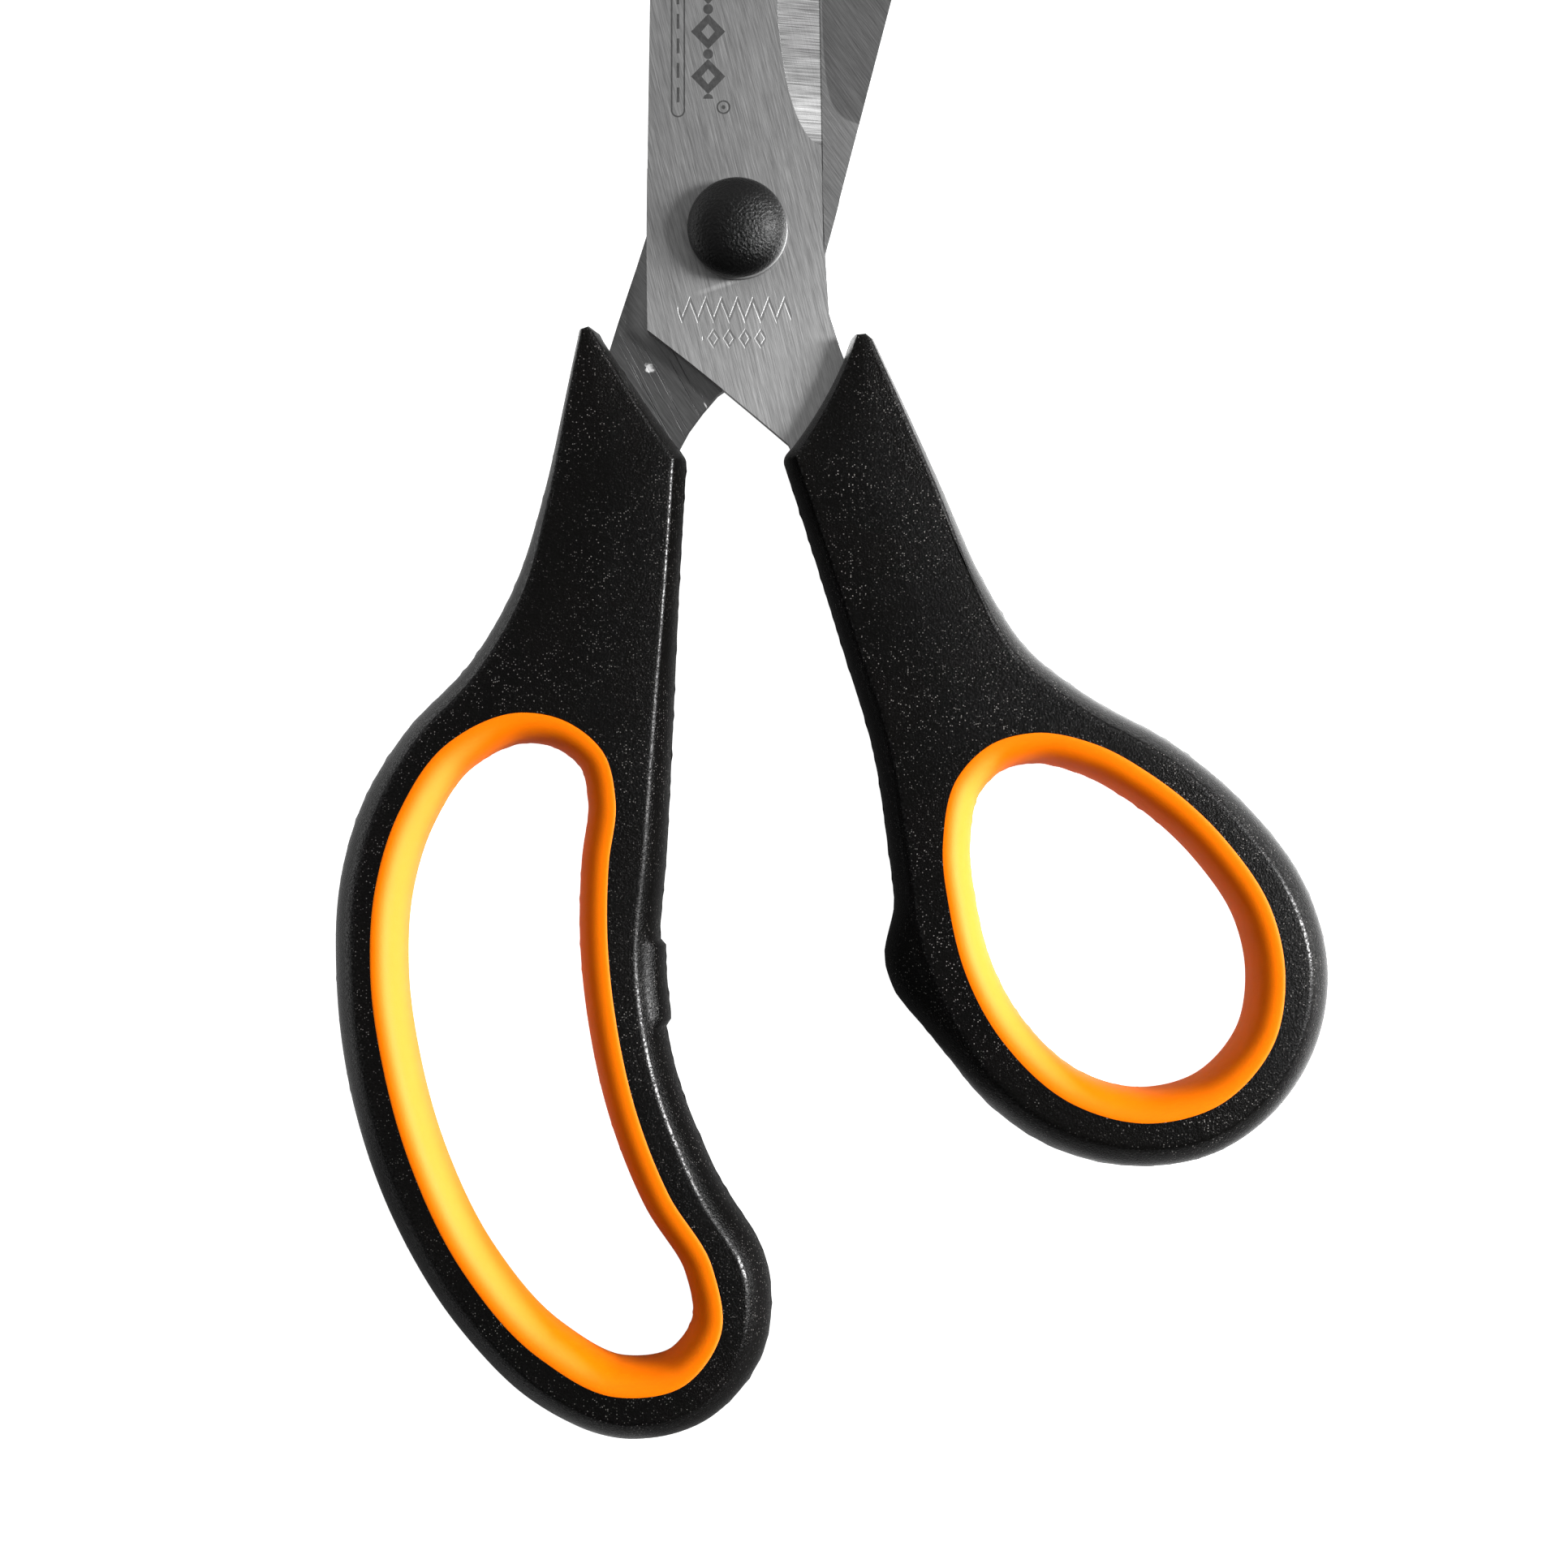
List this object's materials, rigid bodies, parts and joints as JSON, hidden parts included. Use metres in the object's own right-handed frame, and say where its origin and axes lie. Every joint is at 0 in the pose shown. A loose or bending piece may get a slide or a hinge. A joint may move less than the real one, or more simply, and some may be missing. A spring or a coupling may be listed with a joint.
{
  "type": "fabric shears",
  "caption": "Fabric shears with steel blades on a capped pivot, moulded black handles and soft liners in unequal bows.",
  "frame": {"origin": "on the pivot axis, at the flat back of the rivet head", "axes": "+Y along the front blade to its point, +Z out of the capped face, +X towards the thumb handle; stored part open, lying on the backs of its handles"},
  "size_m": [0.0976, 0.2287, 0.0119],
  "materials": {
    "front_steel": "satin, ground",
    "rear_steel": "satin, ground",
    "thumb_black": "fine spark texture",
    "finger_black": "fine spark texture",
    "thumb_soft": "satin, slightly translucent",
    "finger_soft": "satin, slightly translucent",
    "rivet_steel": "satin",
    "pin_steel": "satin",
    "washer_steel": "bright",
    "cap_black": "fine spark texture"
  },
  "bodies": {
    "finger_half": {"rear_blade": "rear_steel", "finger_handle": "finger_black", "finger_liner": "finger_soft", "pivot_rivet": "rivet_steel", "pivot_pin": "pin_steel", "pivot_washer": "washer_steel", "pivot_cap": "cap_black"},
    "thumb_half": {"front_blade": "front_steel", "thumb_handle": "thumb_black", "thumb_liner": "thumb_soft"}
  },
  "joints": [
    {"name": "pivot", "type": "hinge", "parent": "finger_half", "child": "thumb_half", "pos_m": [0, 0, 0], "axis": [0, 0, 1], "range_deg": [-16.5, 75]}
  ]
}
